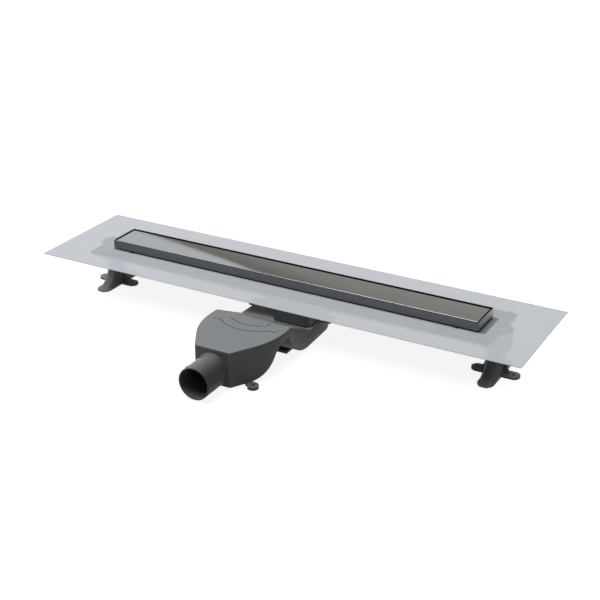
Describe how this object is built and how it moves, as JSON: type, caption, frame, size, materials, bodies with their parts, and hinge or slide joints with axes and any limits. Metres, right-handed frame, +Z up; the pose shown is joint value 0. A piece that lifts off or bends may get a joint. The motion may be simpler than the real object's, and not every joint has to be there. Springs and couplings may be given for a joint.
{
  "type": "linear shower drain",
  "caption": "Low linear shower drain with a tiled-in steel frame and cover, a sealing sheet, a channel on feet and a side-outlet trap.",
  "frame": {"origin": "middle of the cover's top face, at floor finish level", "axes": "+X along the channel, -Y towards the outlet spigot, +Z up"},
  "size_m": [0.82, 0.381, 0.09],
  "materials": {
    "stainless": "brushed stainless sheet",
    "fleece": "pale grey fleece-faced sealing sheet",
    "grey_plastic": "dark grey moulding, fine matt",
    "black_plastic": "black moulding",
    "seal_rubber": "black rubber",
    "screw_steel": "plain stainless screw"
  },
  "bodies": {
    "root": {"channel_body": "grey_plastic", "cover_pad_back_left": "seal_rubber", "cover_pad_back_right": "seal_rubber", "cover_pad_front_left": "seal_rubber", "cover_pad_front_right": "seal_rubber", "cover_plate": "stainless", "drain_frame": "stainless", "foot_screw_left": "screw_steel", "foot_screw_right": "screw_steel", "frame_clip_back_left": "black_plastic", "frame_clip_back_right": "black_plastic", "frame_clip_front_left": "black_plastic", "frame_clip_front_right": "black_plastic", "frame_spacer_left": "black_plastic", "frame_spacer_right": "black_plastic", "hair_strainer": "black_plastic", "insert_seal": "seal_rubber", "left_foot": "grey_plastic", "neck_seal": "seal_rubber", "right_foot": "grey_plastic", "sealing_membrane": "fleece", "trap_body": "grey_plastic", "trap_cover": "grey_plastic", "trap_insert": "grey_plastic", "trap_screw_left": "screw_steel", "trap_screw_right": "screw_steel"}
  },
  "joints": []
}
